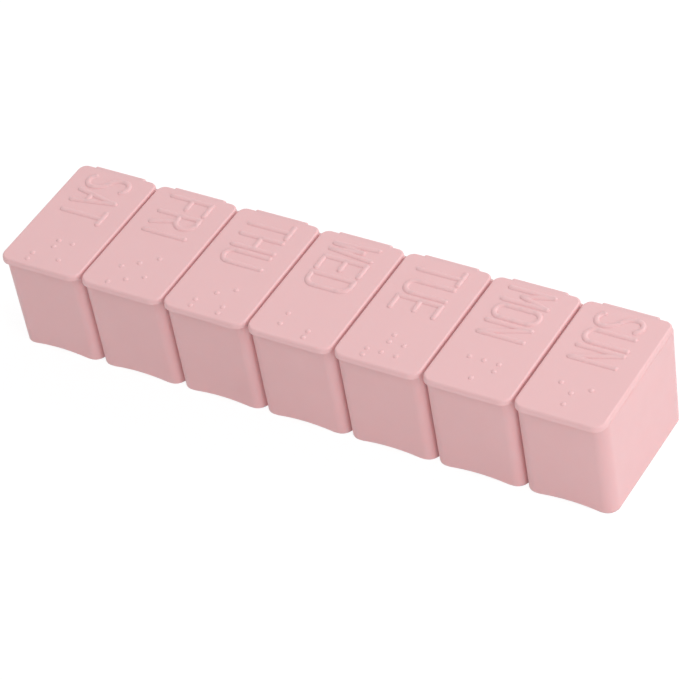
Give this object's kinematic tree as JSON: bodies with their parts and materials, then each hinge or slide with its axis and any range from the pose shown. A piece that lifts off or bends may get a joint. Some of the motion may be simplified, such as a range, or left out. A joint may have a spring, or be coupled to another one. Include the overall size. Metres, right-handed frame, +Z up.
{
  "type": "weekly pill organizer",
  "caption": "Moulded row of daily pill compartments, each with a flip-up lid that carries a raised day name and raised dots, hinged on one wire along the back.",
  "frame": {"origin": "centre of the footprint, on the surface that the feet rest on", "axes": "+X along the row from Saturday to Sunday, +Y from the lids' lips to the hinge, +Z up"},
  "size_m": [0.1636, 0.0396, 0.0291],
  "materials": {
    "tray_plastic": "fine matte moulded polypropylene, pink",
    "lid_plastic": "fine matte moulded polypropylene, pink",
    "wire_steel": "drawn steel wire"
  },
  "bodies": {
    "tray": {"tray": "tray_plastic", "hinge_wire": "wire_steel"},
    "lid_sat": {"lid_sat": "lid_plastic"},
    "lid_fri": {"lid_fri": "lid_plastic"},
    "lid_thu": {"lid_thu": "lid_plastic"},
    "lid_wed": {"lid_wed": "lid_plastic"},
    "lid_tue": {"lid_tue": "lid_plastic"},
    "lid_mon": {"lid_mon": "lid_plastic"},
    "lid_sun": {"lid_sun": "lid_plastic"}
  },
  "joints": [
    {"name": "lid_sat_hinge", "type": "hinge", "parent": "tray", "child": "lid_sat", "pos_m": [-0.0705, 0.018, 0.0251], "axis": [-1, 0, 0], "range_deg": [0, 105]},
    {"name": "lid_fri_hinge", "type": "hinge", "parent": "tray", "child": "lid_fri", "pos_m": [-0.047, 0.018, 0.0251], "axis": [-1, 0, 0], "range_deg": [0, 105]},
    {"name": "lid_thu_hinge", "type": "hinge", "parent": "tray", "child": "lid_thu", "pos_m": [-0.0235, 0.018, 0.0251], "axis": [-1, 0, 0], "range_deg": [0, 105]},
    {"name": "lid_wed_hinge", "type": "hinge", "parent": "tray", "child": "lid_wed", "pos_m": [0, 0.018, 0.0251], "axis": [-1, 0, 0], "range_deg": [0, 105]},
    {"name": "lid_tue_hinge", "type": "hinge", "parent": "tray", "child": "lid_tue", "pos_m": [0.0235, 0.018, 0.0251], "axis": [-1, 0, 0], "range_deg": [0, 105]},
    {"name": "lid_mon_hinge", "type": "hinge", "parent": "tray", "child": "lid_mon", "pos_m": [0.047, 0.018, 0.0251], "axis": [-1, 0, 0], "range_deg": [0, 105]},
    {"name": "lid_sun_hinge", "type": "hinge", "parent": "tray", "child": "lid_sun", "pos_m": [0.0705, 0.018, 0.0251], "axis": [-1, 0, 0], "range_deg": [0, 105]}
  ]
}
